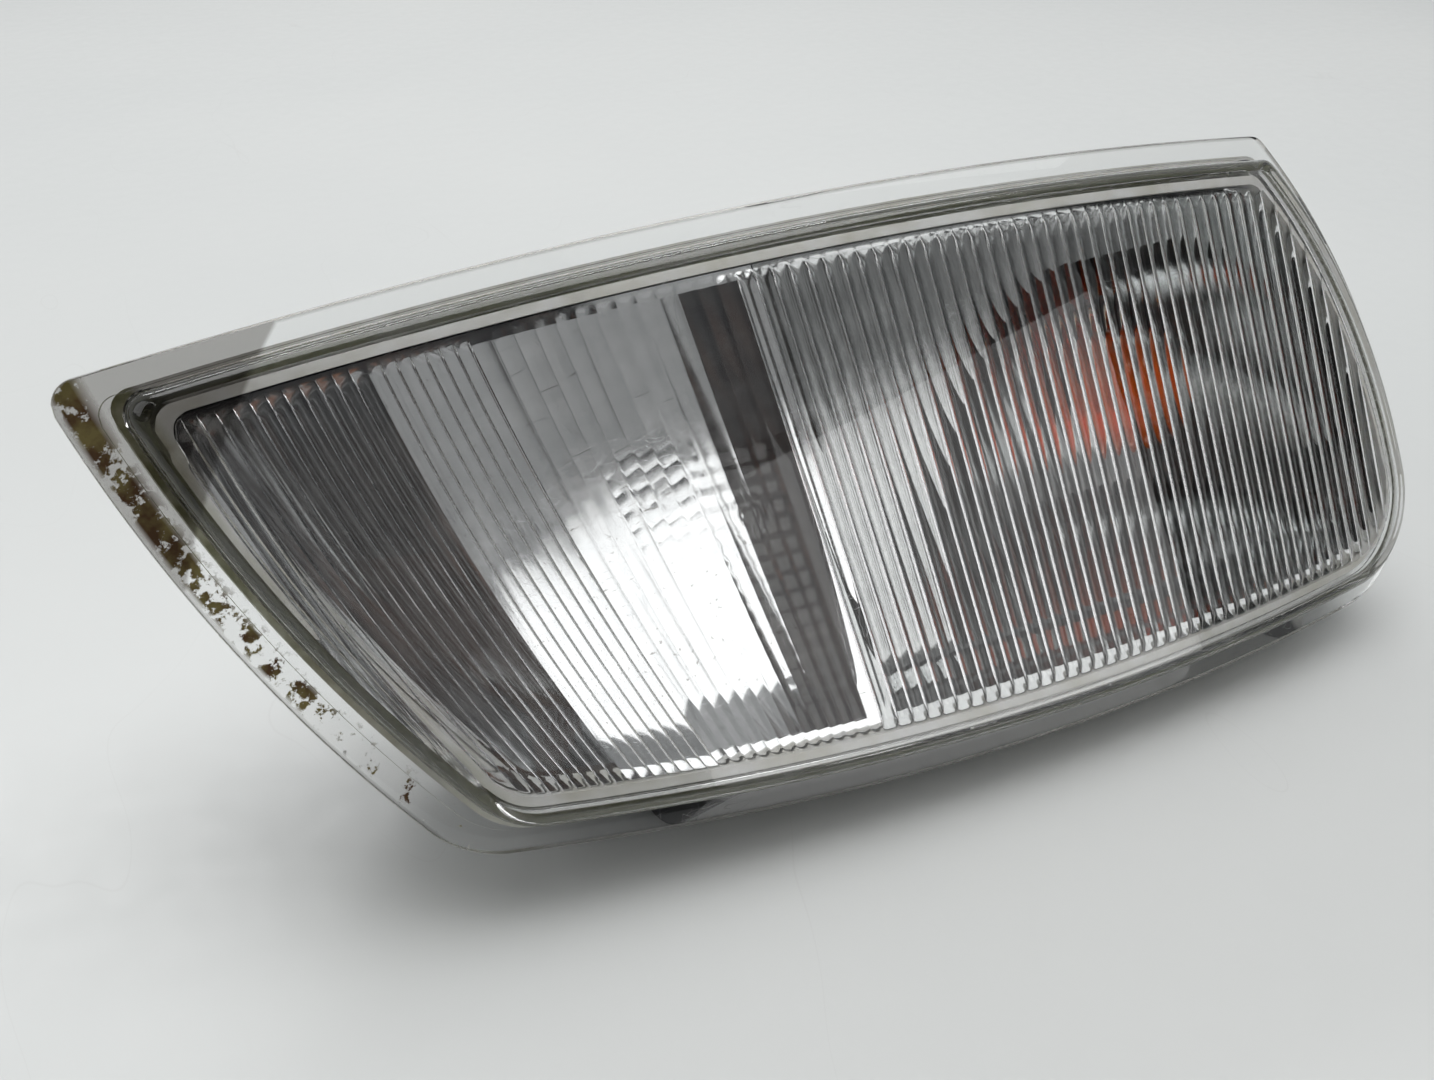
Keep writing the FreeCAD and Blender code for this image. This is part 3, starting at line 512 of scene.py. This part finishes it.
def from_border(m, u, v, side):
    """Distance inwards from one side of the outline, in millimetres; side 0 is the slanted left one."""
    (cx, cy), radius = circle_through(*SIDES[side])
    cx, cy = float(cx), float(cy)
    du, dv = m.maths("SUBTRACT", u, cx), m.maths("SUBTRACT", v, cy)
    away = m.maths("SQRT", m.maths("ADD", m.maths("MULTIPLY", du, du), m.maths("MULTIPLY", dv, dv)))
    return m.maths("SUBTRACT", radius, away)


def lens_material():
    """Clear moulded plastic, finely scratched, with painted shade greying its cut edge, and dirty under its
    left flange.
    """
    m = Material("clear_moulded")
    u, v, height = lens_frame(m)
    inwards = from_border(m, u, v, 0)
    # old dirt and moss under the left part of the flange, densest at its tip and upper half
    strip = m.maths("MULTIPLY", m.ramp(inwards, 0.7, 1.6), m.ramp(inwards, 6.4, 4.2))
    under = m.ramp(height, -1.2, -1.8)
    patches = m.maths("ADD", m.noise(230, 6, 0.74), m.ramp(v, -50, 46, -0.07, 0.14))
    grains = m.ramp(m.maths("ADD", patches, m.maths("MULTIPLY", m.noise(900, 3), 0.22)), 0.66, 0.70)
    dirt = m.maths("MULTIPLY", m.maths("MULTIPLY", strip, under), grains)
    fine = m.noise(900, 3)
    lines = m.maths("MAXIMUM", scratches(m, 60, 0.0015, (1, 9, 0.6)), scratches(m, 45, 0.0012, (5, 0.7, 1.4)))
    worn = m.ramp(m.maths("ADD", lines, m.ramp(fine, 0.66, 0.84)), 0.0, 2.0, 0.006, 0.12)
    # painted shade: the clear colour turns grey within about a millimetre of the outer outline, standing in
    # for the grey look of the thick cut edge
    nearest = inwards
    for side in (1, 2, 3):
        nearest = m.maths("MINIMUM", nearest, from_border(m, u, v, side))
    clear = m.mix(m.ramp(nearest, 0.9, 0.3), (0.985, 0.99, 0.987), (0.50, 0.49, 0.475))
    earth = m.mix(m.ramp(m.noise(260, 3), 0.4, 0.6), (0.07, 0.035, 0.012), (0.17, 0.14, 0.05))
    m.set(Base_Color=m.mix(dirt, clear, earth), Roughness=m.maths("MAXIMUM", worn, dirt),
          IOR=1.49, Transmission_Weight=m.maths("SUBTRACT", 1.0, dirt))
    m.bump(m.maths("ADD", m.maths("MULTIPLY", lines, -0.5), m.noise(55, 2)), 0.12, 0.0001)
    return m.clear_to_light().material


def mirror_material(name, low, high):
    """Vacuum metal with a slight haze and a few specks."""
    m = Material(name)
    haze = m.noise(140, 5, 0.6)
    specks = m.ramp(m.noise(1400, 2), 0.66, 0.74)
    colour = m.mix(m.ramp(haze, 0.35, 0.7), low, high)
    m.set(Base_Color=m.mix(specks, colour, (0.45, 0.44, 0.43)), Metallic=1.0,
          Roughness=m.ramp(haze, 0.2, 0.8, 0.05, 0.14))
    m.bump(m.noise(40, 3), 0.15, 0.0004)
    return m.material


def plastic_material(name, colour, grain, roughness):
    """Moulded plastic with a fine grain, slightly worn in patches."""
    m = Material(name)
    fine = m.noise(grain, 3)
    wide = m.noise(26, 4)
    lighter = tuple(min(1.0, c * 1.45 + 0.008) for c in colour)
    m.set(Base_Color=m.mix(m.ramp(wide, 0.35, 0.75), colour, lighter),
          Roughness=m.ramp(wide, 0.2, 0.8, *roughness))
    m.bump(fine, 0.35, 0.00012)
    return m.material


def metal_material(name, colour, stain, roughness=(0.22, 0.42)):
    """Metal with stains and fine marks."""
    m = Material(name)
    wide = m.noise(160, 5, 0.6)
    fine = m.noise(1500, 3, 0.5)
    m.set(Base_Color=m.mix(m.ramp(wide, 0.45, 0.75), colour, stain), Metallic=1.0,
          Roughness=m.ramp(fine, 0.3, 0.7, *roughness))
    m.bump(fine, 0.2, 0.00004)
    return m.material


def rubber_material(name, colour, other):
    """Dull rubber or mastic in two shades."""
    m = Material(name)
    wide = m.noise(70, 5, 0.6)
    m.set(Base_Color=m.mix(m.ramp(wide, 0.38, 0.68), colour, other),
          Roughness=m.ramp(wide, 0.3, 0.7, 0.55, 0.85))
    m.bump(m.noise(600, 4), 0.5, 0.0003)
    return m.material


def bulb_glass_material():
    """Glass with a coat of amber lacquer."""
    m = Material("amber_lacquered")
    wide = m.noise(150, 4)
    m.set(Base_Color=m.mix(m.ramp(wide, 0.3, 0.7), (1.0, 0.20, 0.0), (1.0, 0.30, 0.01)),
          Roughness=m.ramp(m.noise(500, 3), 0.3, 0.7, 0.04, 0.12), IOR=1.5, Transmission_Weight=0.82)
    m.bump(wide, 0.05, 0.0002)
    return m.clear_to_light((1.0, 0.45, 0.08), 0.7).material


def stem_material():
    """Clear pressed glass of the bulb's stem."""
    m = Material("pressed_glass")
    m.set(Base_Color=m.mix(m.noise(400), (0.9, 0.92, 0.91), (0.97, 0.98, 0.97)),
          Roughness=m.ramp(m.noise(700), 0.3, 0.7, 0.02, 0.08), IOR=1.52, Transmission_Weight=0.95)
    return m.clear_to_light(share=0.6).material


def floor_material():
    """Plain pale table with a few faint marks."""
    m = Material("pale_table")
    wide = m.noise(2.2, 4)
    fine = m.noise(160, 3)
    marks = scratches(m, 14, 0.0008, (1, 0.35, 1))
    base = m.mix(m.ramp(wide, 0.3, 0.7), (0.56, 0.575, 0.57), (0.61, 0.62, 0.61))
    m.set(Base_Color=m.mix(m.maths("MULTIPLY", marks, 0.25), base, (0.5, 0.5, 0.49)),
          Roughness=m.ramp(fine, 0.3, 0.7, 0.32, 0.42))
    m.bump(fine, 0.04, 0.0002)
    return m.material


def housing_material():
    """Black moulding, with the mirrors' metal carried over the rim that holds the lens."""
    m = Material("black_moulded")
    u, v, height = lens_frame(m)
    inwards = from_border(m, u, v, 0)
    wide = m.noise(26, 4)
    edge = m.maths("ADD", height, m.ramp(m.noise(90, 4), 0.3, 0.7, -0.8, 0.8))
    rim = m.ramp(edge, -14.0, -13.2)
    black = m.mix(m.ramp(wide, 0.35, 0.75), (0.022, 0.022, 0.024), (0.04, 0.04, 0.043))
    silver = m.mix(m.ramp(m.noise(130, 5), 0.35, 0.7), (0.62, 0.62, 0.61), (0.50, 0.49, 0.44))
    olive = m.mix(m.ramp(m.noise(200, 4), 0.4, 0.62), (0.13, 0.13, 0.035), (0.36, 0.36, 0.25))
    mastic = m.maths("MULTIPLY", m.ramp(inwards, 12.5, 10.5), m.ramp(v, -40, 20, 0.35, 0.9))
    silver = m.mix(mastic, silver, olive)
    m.set(Base_Color=m.mix(rim, black, silver), Metallic=m.maths("MULTIPLY", rim, 0.55),
          Roughness=m.ramp(wide, 0.2, 0.8, 0.42, 0.62))
    m.bump(m.noise(2200, 3), 0.35, 0.00012)
    return m.material


# how each of the record's material slots looks
FINISHES = {
    "clear_lens": lens_material,
    "sealant": lambda: rubber_material("sealing_mastic", (0.20, 0.205, 0.12), (0.33, 0.33, 0.28)),
    "black_plastic": housing_material,
    "aluminised": lambda: mirror_material("vacuum_aluminium", (0.80, 0.81, 0.82), (0.88, 0.885, 0.89)),
    "amber_glass": bulb_glass_material,
    "stem_glass": stem_material,
    "tungsten": lambda: metal_material("tungsten_coil", (0.30, 0.29, 0.28), (0.2, 0.2, 0.22)),
    "nickel_wire": lambda: metal_material("nickel_lead", (0.62, 0.60, 0.56), (0.45, 0.43, 0.4)),
    "cap_brass": lambda: metal_material("plated_cap", (0.74, 0.68, 0.52), (0.5, 0.42, 0.28)),
    "vitrite": lambda: plastic_material("black_glass_bead", (0.012, 0.012, 0.014), 300, (0.1, 0.25)),
    "solder": lambda: metal_material("dull_solder", (0.60, 0.60, 0.60), (0.4, 0.4, 0.4), (0.35, 0.55)),
    "holder_plastic": lambda: plastic_material("grey_nylon", (0.09, 0.09, 0.093), 1600, (0.38, 0.55)),
    "rubber": lambda: rubber_material("black_rubber", (0.02, 0.02, 0.02), (0.045, 0.045, 0.045)),
    "tinned_steel": lambda: metal_material("tinned_sheet", (0.66, 0.66, 0.65), (0.5, 0.5, 0.49)),
    "spring_steel": lambda: metal_material("spring_strip", (0.45, 0.45, 0.46), (0.3, 0.29, 0.28)),
    "tinned_brass": lambda: metal_material("tinned_blade", (0.70, 0.68, 0.62), (0.6, 0.52, 0.36)),
    "zinc_screw": lambda: metal_material("zinc_plate", (0.66, 0.67, 0.68), (0.5, 0.5, 0.48)),
}


materials = {name: make() for name, make in FINISHES.items()}
for sub in frame["record"]["subparts"]:
    piece = NODES.get(sub["node"])
    if piece and sub["material_slot"] in materials:
        piece.data.materials.clear()
        piece.data.materials.append(materials[sub["material_slot"]])

# painted shade: the bowl gets a darker copy of the side mirror's aluminium, standing in for the dark room it
# reflects
NODES["main_reflector"].data.materials.clear()
NODES["main_reflector"].data.materials.append(
    mirror_material("bowl_aluminium_painted_shade", (0.42, 0.43, 0.43), (0.56, 0.57, 0.57)))

lens = make_lens()
lens.data.materials.append(materials["clear_lens"])
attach(lens, "lamp")
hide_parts("outer_lens")

# a round-wire coil fills the CAD spring's box and rides on the contact's body
low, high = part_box("contact_spring")
coil = make_coil(low, high)
coil.data.materials.append(materials["spring_steel"])
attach(coil, "contact")
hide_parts("contact_spring")
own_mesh(coil)

# ---- stage: table, light and camera ----
def plane(name, corners, material):
    """Flat staged sheet."""
    mesh = bpy.data.meshes.new(name)
    mesh.from_pydata(corners, [], [tuple(range(len(corners)))])
    piece = bpy.data.objects.new(name, mesh)
    bpy.context.scene.collection.objects.link(piece)
    mesh.materials.append(material)
    return piece


floor_z = CAD_BOUNDS[0][2]
plane("table_top", [(-3, -3, floor_z), (3, -3, floor_z), (3, 3, floor_z), (-3, 3, floor_z)], floor_material())


def card_material(name, low, high):
    """Matt card in two shades."""
    m = Material(name)
    m.set(Base_Color=m.mix(m.ramp(m.noise(5, 2, 0.5, (1, 1, 0.3)), 0.45, 0.7), low, high), Roughness=0.9)
    return m.material


def card(name, centre, width, height, facing, material):
    """Dark card that the mirrors reflect, not seen by the camera."""
    middle, toward = Vector(centre), Vector(facing).normalized()
    side = toward.cross(Vector((0, 0, 1))).normalized()
    rise = side.cross(toward)
    corners = [tuple(middle + side * (a * width / 2) + rise * (b * height / 2))
               for a, b in ((-1, -1), (1, -1), (1, 1), (-1, 1))]
    piece = plane(name, corners, material)
    piece.visible_camera = False
    piece.visible_shadow = False
    piece.visible_diffuse = False
    return piece


dark = card_material("dark_card", (0.006, 0.006, 0.007), (0.07, 0.03, 0.016))
wood = card_material("wood_card", (0.012, 0.008, 0.007), (0.30, 0.12, 0.06))
grey = card_material("grey_card", (0.22, 0.22, 0.22), (0.34, 0.34, 0.34))
card("viewer_card", (-0.74, -0.80, 0.64), 1.80, 1.2, (0.35, 1, 0), dark)
card("room_card", (0.42, -0.78, 0.70), 0.62, 0.66, (-0.3, 1, 0), grey)
card("wood_card", (-0.20, -0.77, 0.25), 0.24, 0.15, (0.2, 1, 0), wood)


def area_light(name, place, aim, size, power):
    """Rectangular soft light."""
    data = bpy.data.lights.new(name, "AREA")
    data.shape = "RECTANGLE"
    data.size, data.size_y = size
    data.energy = power
    lamp = bpy.data.objects.new(name, data)
    lamp.location = place
    lamp.rotation_euler = (Vector(aim) - Vector(place)).to_track_quat("-Z", "Y").to_euler()
    bpy.context.scene.collection.objects.link(lamp)
    return lamp


area_light("soft_top", (0.1, 0.15, 1.3), (0, 0, 0.05), (1.4, 0.9), 14)
area_light("soft_left", (-1.2, -0.2, 0.9), (0, 0, 0.05), (0.8, 0.8), 3)
area_light("tube_back", (0.0, 1.0, 0.9), (0, 0, 0.05), (1.2, 0.12), 4)

area_light("low_front", (0.42, -0.82, 0.185), (-0.03, 0, 0.05), (0.62, 0.36), 1.0)

world = bpy.data.worlds.new("studio")
bpy.context.scene.world = world
world.use_nodes = True
sky = world.node_tree
background = sky.nodes["Background"]
background.inputs["Color"].default_value = (0.92, 0.94, 0.95, 1)
# pale room, darker on the side that the lens faces
direction = sky.nodes.new("ShaderNodeSeparateXYZ")
sky.links.new(sky.nodes.new("ShaderNodeTexCoord").outputs["Generated"], direction.inputs[0])
depth = sky.nodes.new("ShaderNodeMapRange")
depth.interpolation_type = "SMOOTHSTEP"
sky.links.new(direction.outputs["Y"], depth.inputs["Value"])
for key, number in (("From Min", -0.45), ("From Max", 0.50), ("To Min", 0.02), ("To Max", 0.66)):
    depth.inputs[key].default_value = number
sky.links.new(depth.outputs["Result"], background.inputs["Strength"])

camera_data = bpy.data.cameras.new("camera")
camera_data.sensor_width = 36.0
camera_data.lens = 35.15
camera_data.clip_start = 0.01
camera = bpy.data.objects.new("camera", camera_data)
camera.location = (-0.1102, -0.1980, 0.1785)
camera.rotation_euler = (math.radians(57), 0.0, math.radians(-24))
bpy.context.scene.collection.objects.link(camera)
bpy.context.scene.camera = camera

scene = bpy.context.scene
scene.view_settings.view_transform = "Standard"
scene.cycles.max_bounces = 24
scene.cycles.transmission_bounces = 20
scene.cycles.glossy_bounces = 10
scene.cycles.transparent_max_bounces = 24
scene.cycles.sample_clamp_indirect = 8.0
scene.cycles.use_denoising = True
